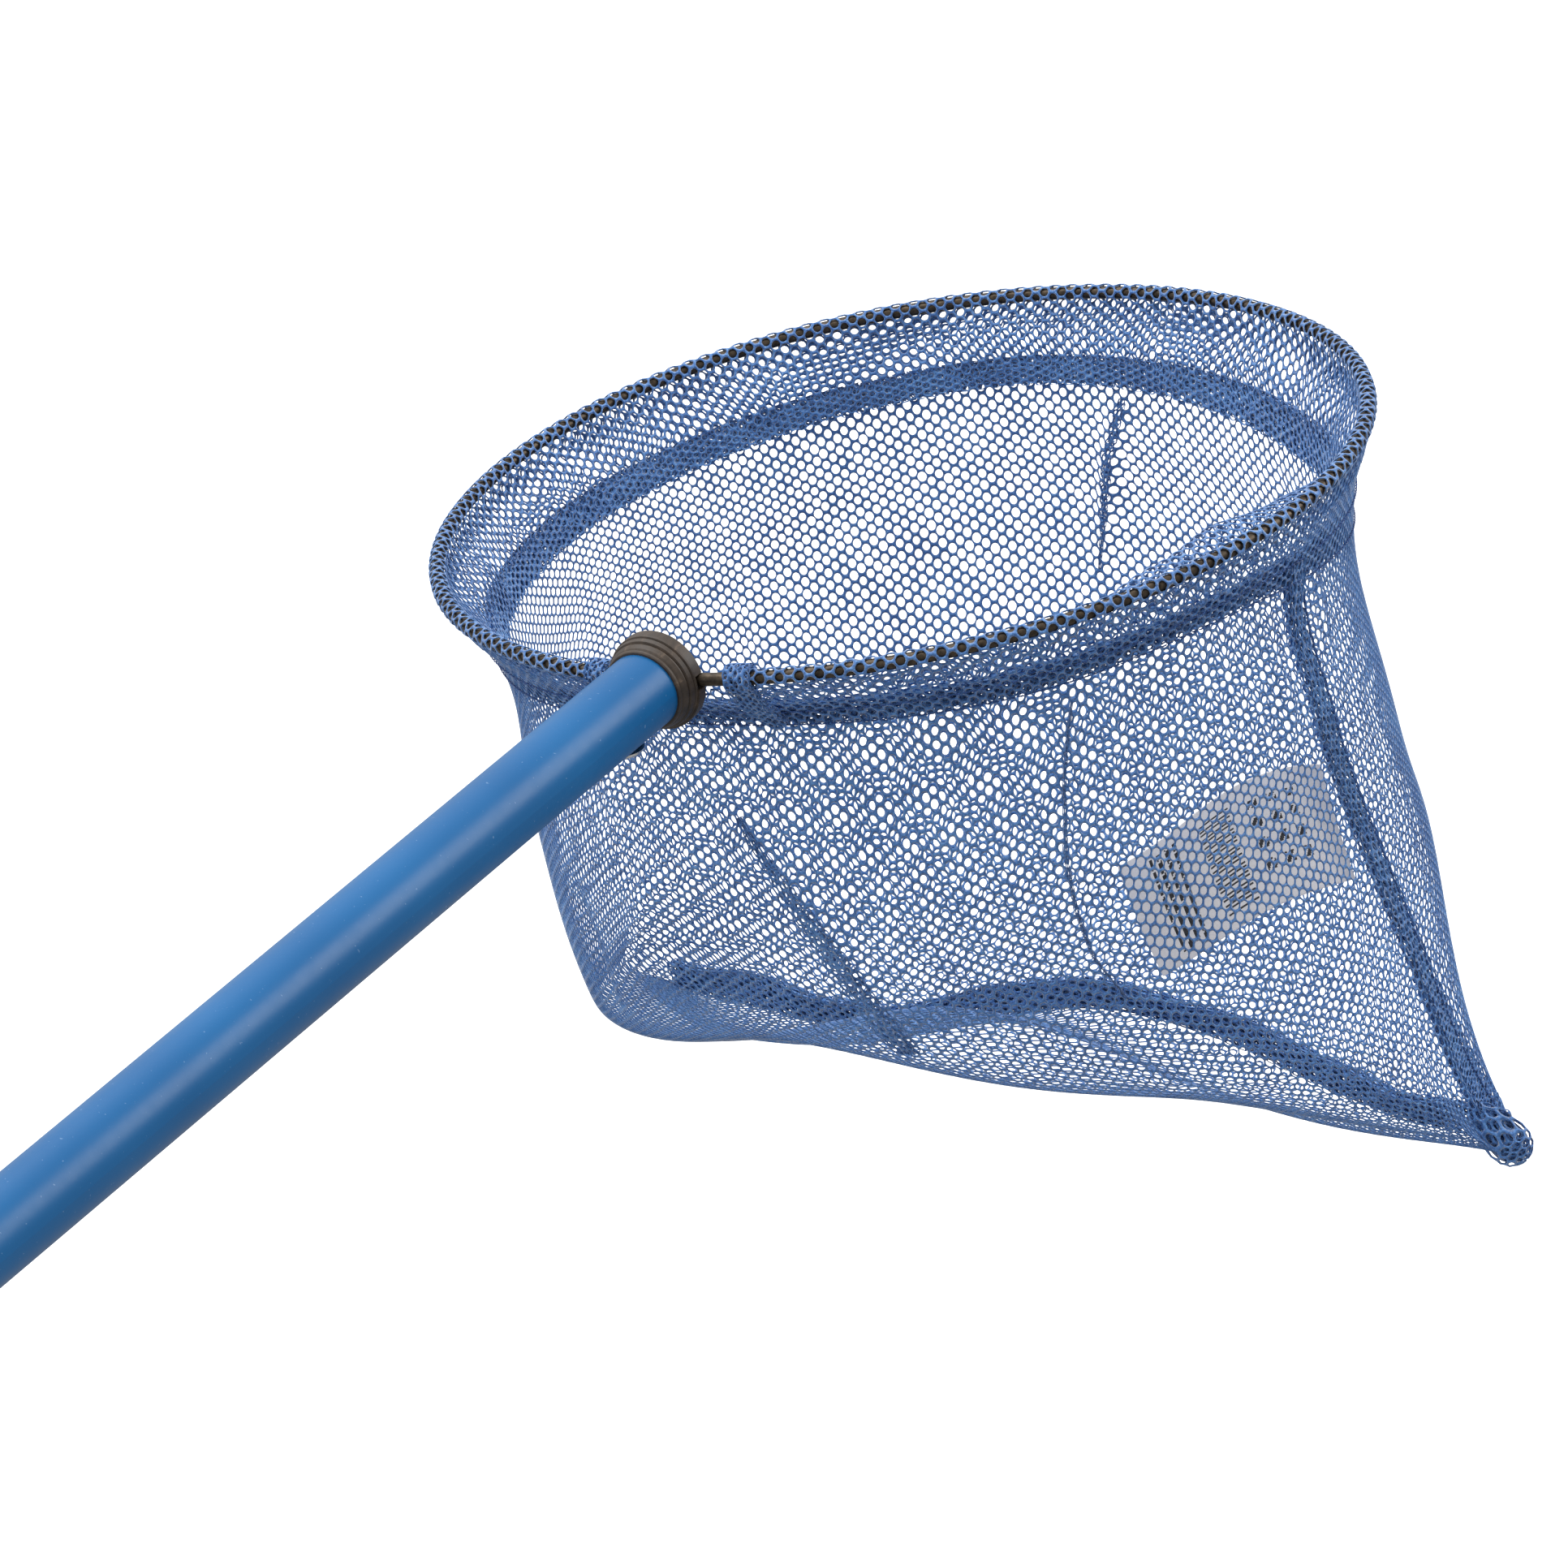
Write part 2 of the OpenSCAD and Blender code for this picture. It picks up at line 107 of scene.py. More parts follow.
def keel(s):
    """The bottom seam, s from 0 at the pulled-out corner to 1 at the rounded one."""
    x = with_waves(CORNER_OUT - (CORNER_OUT + FOLD_OUT) * s, SEAM_OUT_WAVES, s)
    y = with_waves(SEAM_BACK, SEAM_BACK_WAVES, s)
    z = with_waves(-BAG_DEPTH + DEPTH_FALL * s, SEAM_UP_WAVES, s)
    return np.stack([x, y, z], axis=-1)


def turn_between(a, b):
    """The turn from b to a in degrees, from -180 to 180."""
    return (a - b + 540) % 360 - 180


def cloth(u, v):
    """A place on the bag: u in degrees round the hoop from the side seam, v from 0 at the hoop to 1."""
    u, v = np.broadcast_arrays(np.asarray(u, float) % 360, np.asarray(v, float))
    s = np.where(u <= 180, u, 360 - u) / 180
    low = keel(s)
    t = np.radians(90 * v)
    left = np.maximum(np.cos(t), 0.0001) ** WALL_ROUNDING
    r = HOOP_R - WAIST_IN * bell(v, WAIST_V, WAIST_SPREAD) * np.minimum(1, v / WAIST_STARTS)
    place = np.stack([r * np.cos(np.radians(u)) * left + low[..., 0] * (1 - left),
                      r * np.sin(np.radians(u)) * left + low[..., 1] * (1 - left),
                      low[..., 2] * np.sin(t)], axis=-1)
    fade = np.minimum(1, v / PUSH_STARTS) * np.minimum(1, (1 - v) / PUSH_ENDS)
    for mid_u, mid_v, wide_u, wide_v, move in PUSHES:
        near = np.exp(-(turn_between(u, mid_u) / wide_u) ** 2 - ((v - mid_v) / wide_v) ** 2)
        place = place + (near * fade)[..., None] * np.array(move)
    return place


def cloth_normal(u, v):
    """The way out of the bag, from the cloth a small step to each side."""
    step_u, step_v = 1, 0.01
    v = np.clip(v, step_v, 0.97)
    n = np.cross(cloth(u + step_u, v) - cloth(u - step_u, v), cloth(u, v - step_v) - cloth(u, v + step_v))
    return n / np.linalg.norm(n, axis=-1, keepdims=True)


def lifted(u, v, out):
    """Places out mm off the bag's surface."""
    return cloth(u, v) + np.asarray(out)[..., None] * cloth_normal(u, v)


def level_at(depth):
    """The level v at a depth below the hoop."""
    return math.degrees(math.asin(depth / (BAG_DEPTH - DEPTH_FALL / 2))) / 90


# ---- sheets: grids of points with even spacing down each line --------------------------------

class Sheet:
    """A sheet of netting, from lines of points: lines[k] is the k-th line round, and runs down the sheet."""

    def __init__(self, lines, samples):
        even = []
        for line in lines:
            along = np.concatenate([[0], np.cumsum(np.linalg.norm(np.diff(line, axis=0), axis=1))])
            at = np.linspace(0, along[-1], samples)
            even.append(np.stack([np.interp(at, along, line[:, c]) for c in range(3)], axis=1))
        self.grid = np.array(even)
        self.find_normals()

    def find_normals(self):
        across = np.gradient(self.grid, axis=0)
        down = np.gradient(self.grid, axis=1)
        n = np.cross(down, across)
        size = np.linalg.norm(n, axis=-1, keepdims=True)
        self.normals = n / np.maximum(size, 1e-9)

    def at(self, a, b, lift):
        """Points at a from 0 to 1 across the lines, and b from 0 to 1 down them, lift mm off the sheet."""
        rows, cols = self.grid.shape[:2]
        x = np.clip(a, 0, 1) * (rows - 1)
        y = np.clip(b, 0, 1) * (cols - 1)
        i = np.minimum(x.astype(int), rows - 2)
        j = np.minimum(y.astype(int), cols - 2)
        fx, fy = (x - i)[:, None], (y - j)[:, None]

        def mixed(t):
            upper = t[i, j] * (1 - fy) + t[i, j + 1] * fy
            lower = t[i + 1, j] * (1 - fy) + t[i + 1, j + 1] * fy
            return upper * (1 - fx) + lower * fx
        return mixed(self.grid) + np.asarray(lift)[:, None] * mixed(self.normals)


def along_crease(stops, count):
    """Places u and v along a crease, and how much of its height it has at each: it dies away at its ends."""
    steepness, at_end = 3, 0.15
    stops = np.array(stops, float)
    along = np.linspace(0, len(stops) - 1, count)
    u = np.interp(along, np.arange(len(stops)), stops[:, 0])
    v = np.interp(along, np.arange(len(stops)), stops[:, 1])
    to_end = np.minimum(along, len(stops) - 1 - along)
    return u, v, np.minimum(1, steepness * to_end / len(stops) + at_end)


def crease(sheet):
    """Lifts a sheet along its creases, each place by its nearest point of the crease."""
    points_per_stop = 12
    move = np.zeros(sheet.grid.shape[:-1])
    for stops, half_width, height, _ in CREASES:
        u, v, share = along_crease(stops, points_per_stop * len(stops))
        strength = np.zeros(move.shape)
        for point, part in zip(cloth(u, v), share):
            away = ((sheet.grid - point) ** 2).sum(axis=-1)
            strength = np.maximum(strength, part * np.exp(-away / half_width ** 2))
        move += height * strength
    sheet.grid = sheet.grid + move[..., None] * sheet.normals
    sheet.find_normals()


TIP_R = np.array([7.0, 6.2, 7.0])    # radius of the blunt corner, in x, y and z
TIP_MIDDLE = keel(np.array(0.0)) + (-7.65, 0.0, 6.4)
TIP_ALONG = np.array([0.70, 0.0, -0.71])    # the way the corner points
TIP_INSET = 0.8       # how far under the blunt corner's netting the bag's own netting ends


def blunted(places):
    """Places of the bag, with those past the middle of the pulled-out corner drawn in to a round end."""
    away = places - TIP_MIDDLE
    past = away @ TIP_ALONG > 0
    reach = np.linalg.norm(away / (TIP_R - TIP_INSET), axis=-1)
    shrink = np.where(past & (reach > 1), 1 / np.maximum(reach, 1e-6), 1)
    return TIP_MIDDLE + away * shrink[..., None]


def bag_sheet():
    """The bag's one surface, from just under the wire down to the bottom seam."""
    lines, samples = 925, 320
    u = np.linspace(0, 360, lines)
    v = np.linspace(level_at(4), 0.998, samples)
    sheet = Sheet(blunted(cloth(u[:, None], v[None, :])), samples)
    crease(sheet)
    return sheet


SLEEVE_START = 270 + PLUG_HALF + BARE_WIRE
SLEEVE_SWEEP = 360 - 2 * PLUG_HALF - BARE_WIRE
# Where the casing's inner layer hangs loose: how far in mm, middle and spread in degrees round the hoop
SLACKS = [(11, 350, 18), (5, 320, 22)]
SLACK_ALL_ROUND = 1.2


def casing_slack(u):
    """How far the casing's inner layer stands off the bag, in mm: it is loose beside the side seam."""
    ripple = 0.6 * math.sin(math.radians(11 * u)) + 0.4 * math.sin(math.radians(23 * u + 40))
    loose = sum(far * bell(turn_between(u, middle), 0, spread) for far, middle, spread in SLACKS)
    return float(loose + SLACK_ALL_ROUND * (1 + ripple))


def casing_sheet():
    """The netting that goes up outside the wire, over it and down inside to the hem."""
    over_r = WIRE_R + 0.6     # the netting's middle, off the wire's surface
    angle = np.radians(np.linspace(-25, 205, 40))
    outer_v = np.linspace(level_at(9), level_at(3), 6)
    outer_lift = np.linspace(0.3, 0.6, len(outer_v))
    inner_v = np.linspace(level_at(4), level_at(CASING_DROP), 30)
    inner_lift = np.linspace(-1.4, -2.2, len(inner_v))
    bulge = np.sin(np.linspace(0.12, 1, len(inner_v)) * math.pi) ** 0.8
    bulge_up = 0.35   # how much of its slack the inner layer also bulges upwards
    lines = []
    for u in SLEEVE_START + np.linspace(0, SLEEVE_SWEEP, 600):
        slack = casing_slack(u)
        turn = math.radians(u)
        r = HOOP_R + over_r * np.cos(angle)
        outer = lifted(u, outer_v, outer_lift)
        over = np.stack([r * math.cos(turn), r * math.sin(turn), over_r * np.sin(angle)], axis=1)
        inner = lifted(u, inner_v, inner_lift - slack * bulge)
        inner[:, 2] += bulge_up * slack * bulge
        lines.append(np.concatenate([outer, over, inner]))
    return Sheet(np.array(lines), 120)


# ---- netting --------------------------------------------------------------------------------

CORNER_STEPS = np.array([(2, 0), (1, 1), (-1, 1), (-2, 0), (-1, -1), (1, -1)])
HOLE_SPREAD = 14      # degrees from a corner of the cell to the two hole points beside it
HOLE_VARIES = 0.05    # usual spread of a hole's size and place
HOLE_LEAST, HOLE_MOST = 0.45, 1.12    # limits of a hole's size, as shares of the usual one
CORNER_STRAYS, CORNER_RISES = 0.5, 0.8    # usual move of a cell's corner, in rows and in mm, times unevenness
KEY_STEP = 100000     # joins a corner's two whole numbers into one
PART_COLUMN, PART_ROW = 0.33, 0.5     # what the cells add past the last whole column and row, in pitches


def netting_mesh(name, parts):
    """One mesh from several (points, faces) with faces as one array each of quads and of triangles."""
    points = np.concatenate([p for p, _, _ in parts])
    start = np.cumsum([0] + [len(p) for p, _, _ in parts])
    quads = np.concatenate([q + s for (_, q, _), s in zip(parts, start)])
    tris = np.concatenate([t + s for (_, _, t), s in zip(parts, start)])
    mesh = bpy.data.meshes.new(name)
    mesh.vertices.add(len(points))
    mesh.vertices.foreach_set("co", ((points + HOOP_CENTRE) * MM).astype(np.float32).ravel())
    loops = np.concatenate([quads.ravel(), tris.ravel()]).astype(np.int32)
    mesh.loops.add(len(loops))
    mesh.loops.foreach_set("vertex_index", loops)
    sizes = np.concatenate([np.full(len(quads), 4), np.full(len(tris), 3)])
    mesh.polygons.add(len(sizes))
    mesh.polygons.foreach_set("loop_start", np.concatenate([[0], np.cumsum(sizes)[:-1]]).astype(np.int32))
    mesh.polygons.foreach_set("loop_total", sizes.astype(np.int32))
    mesh.update(calc_edges=True)
    mesh.shade_smooth()
    return mesh


def netting(place, first, columns, rows, pitch, hole, thick, uneven=0.0, lift=0.0):
    """Knitted netting over columns by rows of cells. place(x, y, lift) gives points for places in mm on the
    flat sheet. hole is the hole's half width and half height, thick the strands' thickness, and uneven how
    far the cells stray from even ones."""
    i, j = np.meshgrid(np.arange(first, first + columns), np.arange(rows), indexing="ij")
    i, j = i.ravel(), j.ravel()
    sides = len(CORNER_STEPS)
    step_x, step_y = pitch[0] / 3, pitch[1] / 2
    mid_x, mid_y = 3 * i + 2, 2 * j + i % 2 + 1
    corner_x = mid_x[:, None] + CORNER_STEPS[:, 0]
    corner_y = mid_y[:, None] + CORNER_STEPS[:, 1]
    keys, ids = np.unique(corner_x.ravel() * KEY_STEP + corner_y.ravel(), return_inverse=True)
    ids = ids.reshape(-1, sides)
    kx, ky = keys // KEY_STEP, keys % KEY_STEP
    wobble = uneven * pitch[1] * rng.normal(0, CORNER_STRAYS, (len(keys), 2))
    ridge_x, ridge_y = kx * step_x + wobble[:, 0], ky * step_y + wobble[:, 1]
    rise = lift + uneven * rng.normal(0, CORNER_RISES, len(keys))
    upper = place(ridge_x, ridge_y, rise + thick / 2)
    lower = place(ridge_x, ridge_y, rise - thick / 2)

    corner_turn = np.degrees(np.arctan2(CORNER_STEPS[:, 1] * step_y, CORNER_STEPS[:, 0] * step_x))
    hole_turn = np.radians(corner_turn[:, None] + np.array([-HOLE_SPREAD, HOLE_SPREAD])).ravel()
    size = 1 + HOLE_VARIES * rng.normal(0, 1, (len(i), 1)) + uneven * rng.normal(0, 1, (len(i), 1))
    size = np.clip(size, HOLE_LEAST, HOLE_MOST)
    shift = (HOLE_VARIES + uneven) * rng.normal(0, 1, (len(i), 2))
    middle_x = ridge_x[ids].mean(axis=1) + shift[:, 0]
    middle_y = ridge_y[ids].mean(axis=1) + shift[:, 1]
    edge_x = middle_x[:, None] + hole[0] * size * np.cos(hole_turn)
    edge_y = middle_y[:, None] + hole[1] * size * np.sin(hole_turn)
    edge_rise = np.repeat(rise[ids].mean(axis=1), 2 * sides)
    edge = place(edge_x.ravel(), edge_y.ravel(), edge_rise)

    low_start, edge_start = len(keys), 2 * len(keys)
    rim = edge_start + np.arange(len(i) * 2 * sides).reshape(-1, 2 * sides)
    quads, tris = [], []
    for k in range(sides):
        n = (k + 1) % sides
        a, b = ids[:, k], ids[:, n]
        quads.append(np.stack([a, b, rim[:, 2 * n], rim[:, 2 * k + 1]], axis=1))
        quads.append(np.stack([a + low_start, rim[:, 2 * k + 1], rim[:, 2 * n], b + low_start], axis=1))
        tris.append(np.stack([a, rim[:, 2 * k + 1], rim[:, 2 * k]], axis=1))
        tris.append(np.stack([a + low_start, rim[:, 2 * k], rim[:, 2 * k + 1]], axis=1))
    return np.concatenate([upper, lower, edge]), np.concatenate(quads), np.concatenate(tris)


def piece(name, mesh, body, material, nodes=()):
    """An object of its own that rides on a body, and stands for the CAD nodes named."""
    o = bpy.data.objects.new(name, mesh)
    bpy.context.scene.collection.objects.link(o)
    mesh.materials.append(material)
    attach(o, body)
    if nodes:
        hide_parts(*nodes)
    return o


# ---- materials ------------------------------------------------------------------------------

class Nodes:
    """A short way to build one node material."""

    def __init__(self, name):
        self.material = bpy.data.materials.new(name)
        self.material.use_nodes = True
        self.tree = self.material.node_tree
        self.shader = self.tree.nodes["Principled BSDF"]
        self.coord = self.tree.nodes.new("ShaderNodeTexCoord").outputs["Object"]

    def set(self, **values):
        for key, value in values.items():
            self.shader.inputs[key.replace("_", " ")].default_value = value

    def link(self, a, b):
        self.tree.links.new(a, b)

    def noise(self, scale, detail=2.0, roughness=0.5, vector=None):
        n = self.tree.nodes.new("ShaderNodeTexNoise")
        n.inputs["Scale"].default_value = scale
        n.inputs["Detail"].default_value = detail
        n.inputs["Roughness"].default_value = roughness
        self.link(vector or self.coord, n.inputs["Vector"])
        return n.outputs["Fac"]

    def stretched(self, x, y, z):
        n = self.tree.nodes.new("ShaderNodeMapping")
        n.inputs["Scale"].default_value = (x, y, z)
        self.link(self.coord, n.inputs["Vector"])
        return n.outputs["Vector"]

    def ramp(self, value, stops):
        n = self.tree.nodes.new("ShaderNodeValToRGB")
        n.color_ramp.elements[0].position, n.color_ramp.elements[1].position = stops[0][0], stops[-1][0]
        for place, _ in stops[1:-1]:
            n.color_ramp.elements.new(place)
        for element, (_, colour) in zip(n.color_ramp.elements, stops):
            element.color = (*colour, 1)
        self.link(value, n.inputs["Fac"])
        return n.outputs["Color"]

    def math(self, operation, a, b):
        n = self.tree.nodes.new("ShaderNodeMath")
        n.operation = operation
        for socket, value in zip(n.inputs, (a, b)):
            if isinstance(value, (int, float)):
                socket.default_value = value
            else:
                self.link(value, socket)
        return n.outputs[0]

    def colour(self, value, stops):
        self.link(self.ramp(value, stops), self.shader.inputs["Base Color"])

    def span(self, value, low, high):
        n = self.tree.nodes.new("ShaderNodeMapRange")
        n.inputs["To Min"].default_value, n.inputs["To Max"].default_value = low, high
        self.link(value, n.inputs["Value"])
        return n.outputs["Result"]

    def roughness(self, value, low, high):
        self.link(self.span(value, low, high), self.shader.inputs["Roughness"])

    def bump(self, height, distance, strength=1.0):
        n = self.tree.nodes.new("ShaderNodeBump")
        n.inputs["Distance"].default_value = distance
        n.inputs["Strength"].default_value = strength
        self.link(height, n.inputs["Height"])
        self.link(n.outputs["Normal"], self.shader.inputs["Normal"])


def srgb(r, g, b):
    """A colour from its usual 0 to 255 numbers."""
    return tuple((c / 255 / 12.92) if c <= 10 else ((c / 255 + 0.055) / 1.055) ** 2.4 for c in (r, g, b))


def netting_material():
    m = Nodes("netting_blue")
    yarn = m.noise(1400, 3, 0.65)
    patch = m.noise(60, 2)
    tone = m.math("ADD", m.math("MULTIPLY", yarn, 0.75), m.math("MULTIPLY", patch, 0.25))
    m.colour(tone, [(0.32, srgb(54, 92, 150)), (0.5, srgb(74, 124, 190)), (0.66, srgb(112, 163, 220))])
    m.roughness(m.noise(900), 0.55, 0.85)
    m.bump(m.noise(2200, 2), 0.0003, 0.8)
    m.set(Sheen_Weight=0.7, Sheen_Roughness=0.4)
    return m.material


def thread_material():
    m = Nodes("sewing_thread")
    twist = m.noise(2600, 2)
    m.colour(twist, [(0.35, srgb(20, 46, 96)), (0.65, srgb(52, 96, 168))])
    m.roughness(twist, 0.45, 0.7)
    m.bump(twist, 0.0002)
    return m.material


def handle_material():
    m = Nodes("handle_coating_blue")
    cloud = m.noise(18, 2)
    speck = m.noise(900, 1)
    body = m.ramp(cloud, [(0.3, srgb(8, 92, 150)), (0.7, srgb(12, 101, 161))])
    light = m.ramp(speck, [(0.74, (0, 0, 0)), (0.8, (0.12, 0.14, 0.15))])
    add = m.tree.nodes.new("ShaderNodeMix")
    add.data_type, add.blend_type = "RGBA", "ADD"
    add.inputs["Factor"].default_value = 1.0
    m.link(body, add.inputs["A"])
    m.link(light, add.inputs["B"])
    m.link(add.outputs["Result"], m.shader.inputs["Base Color"])
    m.roughness(m.noise(220, 3), 0.3, 0.42)
    m.bump(m.noise(500, 2), 0.00004, 0.5)
    m.set(Specular_IOR_Level=0.35)
    return m.material


def plug_material():
    m = Nodes("plug_brown_black")
    scuff = m.noise(260, 4, 0.7, m.stretched(1, 0.3, 1))
    m.colour(scuff, [(0.3, srgb(40, 33, 27)), (0.6, srgb(70, 58, 48)), (0.78, srgb(122, 104, 86))])
    m.roughness(scuff, 0.36, 0.6)
    m.bump(scuff, 0.00012, 0.5)
    return m.material


def wire_material():
    m = Nodes("dark_wire")
    grain = m.noise(500, 3, 0.6)
    m.colour(grain, [(0.3, srgb(44, 38, 32)), (0.7, srgb(92, 80, 66))])
    m.roughness(grain, 0.28, 0.45)
    m.bump(grain, 0.00003, 0.5)
    m.set(Metallic=0.75)
    return m.material


def metal_material(name, low, high, roughness):
    m = Nodes(name)
    grain = m.noise(700, 3)
    m.colour(grain, [(0.3, low), (0.7, high)])
    m.roughness(grain, roughness - 0.06, roughness + 0.1)
    m.bump(grain, 0.00002, 0.5)
    m.set(Metallic=1.0)
    return m.material


def cap_material():
    m = Nodes("cap_dark_grey")
    grain = m.noise(600, 3)
    m.colour(grain, [(0.3, srgb(38, 38, 40)), (0.7, srgb(52, 52, 54))])
    m.roughness(grain, 0.45, 0.65)
    m.bump(grain, 0.00006, 0.6)
    return m.material


def label_material():
    m = Nodes("label_ribbon")
    weave = m.noise(1800, 1, 0.5, m.stretched(1, 1, 6))
    m.colour(weave, [(0.3, srgb(240, 234, 230)), (0.7, srgb(253, 249, 246))])
    m.roughness(weave, 0.5, 0.7)
    m.bump(weave, 0.00005, 0.5)
    # painted glow: a faint warm emission stands in for light shining through the thin ribbon from behind; the
    # ribbon gives off no light of its own
    m.set(Emission_Color=(1, 0.96, 0.93, 1), Emission_Strength=0.14)
    return m.material


def label_ink_material():
    m = Nodes("label_ink")
    weave = m.noise(1800, 1)
    m.colour(weave, [(0.3, srgb(52, 50, 50)), (0.7, srgb(84, 82, 80))])
    m.roughness(weave, 0.55, 0.75)
    return m.material


NETTING = netting_material()
THREAD = thread_material()


def paint_nodes():
    """Materials of the rigid pieces, which keep their CAD shapes."""
    steel = metal_material("zinc_steel", srgb(150, 152, 155), srgb(190, 191, 193), 0.35)
    looks = {"handle_coating": handle_material(), "handle_tube": steel, "end_cap": cap_material(),
             "hoop_plug": plug_material(), "hoop_wire": wire_material(),
             "rivet_shell": metal_material("rivet_aluminium", srgb(205, 203, 198), srgb(232, 231, 228), 0.25),
             "rivet_mandrel": steel}
    for node, material in looks.items():
        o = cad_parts[node]
        for slot in o.material_slots:
            slot.material = material


# ---- the net --------------------------------------------------------------------------------

PITCH = (2.8, 3.8)    # between columns and between rows of holes
HOLE = (1.36, 1.42)   # half width and half height of a hole
STRAND = 0.5
COLUMNS = 308
BAG_ROWS = 60
PANELS = 4
ROUND = COLUMNS * PITCH[0]
# Gathered netting, as in the sewn bands: closer cells, smaller holes and thicker, uneven strands
GATHER_PITCH = (2.6, 2.3)
GATHER_HOLE = (1.0, 0.75)
GATHER_STRAND = 0.6
GATHER_UNEVEN = 0.12


def corner_netting():
    """The blunt pulled-out corner: netting on a small round form that runs back into the bag."""
    columns, rows = 12, 6
    back = 2.3          # how much longer the form is towards the bag
    lift_turn = 0.2     # turn of the inner layers, so that their holes don't line up
    first, reach = 0.1, 2.5     # where the netting starts behind the corner's point, and how far it goes on
    up = np.cross(TIP_ALONG, (0.0, -1.0, 0.0))
    wide, deep = columns * PITCH[0], (rows + PART_ROW) * PITCH[1]

    def place(x, y, lift):
        turn = 2 * math.pi * x / wide
        turn = turn + lift_turn * lift
        down = first + reach * np.clip(y / deep, 0, 1)
        along = np.cos(down) * np.where(down > math.pi / 2, back, 1)
        out = (np.cos(turn) * np.sin(down))[:, None] * up + along[:, None] * TIP_ALONG
        out[:, 1] += np.sin(turn) * np.sin(down)
        return TIP_MIDDLE + out * (TIP_R + lift[:, None])
    return [netting(place, 0, columns, rows, PITCH, HOLE, STRAND, 0.06, lift) for lift in (0, -1.3, -2.4)]


def make_bag():
    """The bag in panels, each with the doubled strips of the folds that start in it."""
    sheet = bag_sheet()
    deep = (BAG_ROWS + PART_ROW) * PITCH[1]

    def place(x, y, lift):
        return sheet.at((x / ROUND) % 1.0, y / deep, lift)
    each = COLUMNS // PANELS
    for k in range(PANELS):
        parts = [netting(place, k * each, each, BAG_ROWS, PITCH, HOLE, STRAND)]
        if k == 0:
            parts += corner_netting()
        for stops, _, height, doubled in CREASES:
            if doubled and int(stops[0][0] * PANELS / 360) == k:
                parts += fold_strip(stops, height, doubled)
        mesh = netting_mesh(f"net_panel_{k + 1}", parts)
        nodes = ["net_bag"] if k == 0 else []
        o = piece(f"net_panel_{k + 1}", mesh, "net", NETTING, nodes)


def make_casing():
    sheet = casing_sheet()
    columns = int(COLUMNS * SLEEVE_SWEEP / 360)
    rows = 12
    wide, deep = (columns + PART_COLUMN) * PITCH[0], (rows + PART_ROW) * PITCH[1]

    def place(x, y, lift):
        return sheet.at(x / wide, y / deep, lift)
    mesh = netting_mesh("casing_netting", [netting(place, 0, columns, rows, PITCH, HOLE, STRAND)])
    o = piece("casing_netting", mesh, "net", NETTING, ["rim_sleeve", "fold_down"])


def gathered(sheet, length, width, lifts):
    """Several layers of gathered netting over a strip of a sheet, out of step with each other."""
    columns = int(length / GATHER_PITCH[0])
    rows = max(2, round(width / GATHER_PITCH[1]))
    parts = []
    for lift in lifts:
        move_x, move_y = rng.uniform(0, 1, 2)

        def place(x, y, up, move_x=move_x, move_y=move_y):
            a = (x / GATHER_PITCH[0] + move_x - 0.5) / (columns + PART_COLUMN)
            b = (y / GATHER_PITCH[1] + move_y - 0.5) / (rows + PART_ROW)
            return sheet.at(a, b, up)
        parts.append(netting(place, 0, columns, rows, GATHER_PITCH, GATHER_HOLE, GATHER_STRAND,
                             GATHER_UNEVEN, lift))
    return parts


def strip_sheet(lines):
    """A narrow sheet from lines that run along it."""
    return Sheet(np.array(lines).transpose(1, 0, 2), 12)


def fold_strip(stops, height, doubled):
    """A strip along a crease where the netting lies over itself, narrower to its ends."""
    count, lifts = 80, (0.4, -0.5)
    u, v, share = along_crease(stops, count)
    middle = lifted(u, v, 0.8 * height * share)     # just under the crease's ridge
    side = np.cross(cloth_normal(u, v), np.gradient(middle, axis=0))
    side /= np.linalg.norm(side, axis=1, keepdims=True)
    wide = np.linspace(*doubled, count) * np.sin(np.linspace(0.1, 0.9, count) * math.pi) ** 0.5
    sheet = strip_sheet([middle + (across * wide)[:, None] * side for across in np.linspace(-0.5, 0.5, 5)])
    length = np.linalg.norm(np.diff(middle, axis=0), axis=1).sum()
    return gathered(sheet, length, sum(doubled) / 2, lifts)


def dense_band(name, sheet, length, width, lifts, nodes):
    """A sewn band of gathered netting."""
    mesh = netting_mesh(name, gathered(sheet, length, width, lifts))
    piece(name, mesh, "net", NETTING, nodes)


def make_hem():
    u = np.linspace(0, 360, 617)
    v = np.linspace(level_at(CASING_DROP - HEM_W), level_at(CASING_DROP), 12)
    sheet = Sheet(cloth(u[:, None], v[None, :]), 24)
    dense_band("hem_netting", sheet, ROUND, HEM_W, (-1.3, -1.9, -2.5, -3.1), ["hem_band"])


SEAM_FROM = 0.1       # where the bottom seam leaves the blunt corner, as a share of its length
SIDE_SEAM_L, SIDE_SEAM_W = 210, 9.6
BOTTOM_SEAM_L, BOTTOM_SEAM_W = 330, 10.5


def seam_line(v):
    """The side seam's place round the bag, in degrees: it wanders to the back lower down."""
    return -2 + 14 * np.maximum(0, v - 0.25)


def make_side_seam():
    v = np.linspace(level_at(CASING_DROP - HEM_W), 0.93, 150)
    narrowing = np.maximum(np.cos(np.radians(90 * v)), 0.01) ** WALL_ROUNDING
    lines = []
    for across in np.linspace(-SIDE_SEAM_W / 2, SIDE_SEAM_W / 2, 9):
        u = seam_line(v) + np.degrees(across / (HOOP_R * np.maximum(narrowing, 0.25)))
        lines.append(blunted(lifted(u, v, np.full(len(v), -1.0))))
    dense_band("side_seam_netting", strip_sheet(lines), SIDE_SEAM_L, SIDE_SEAM_W, (0.9, 0.2, -0.6, -1.2),
               ["side_seam"])


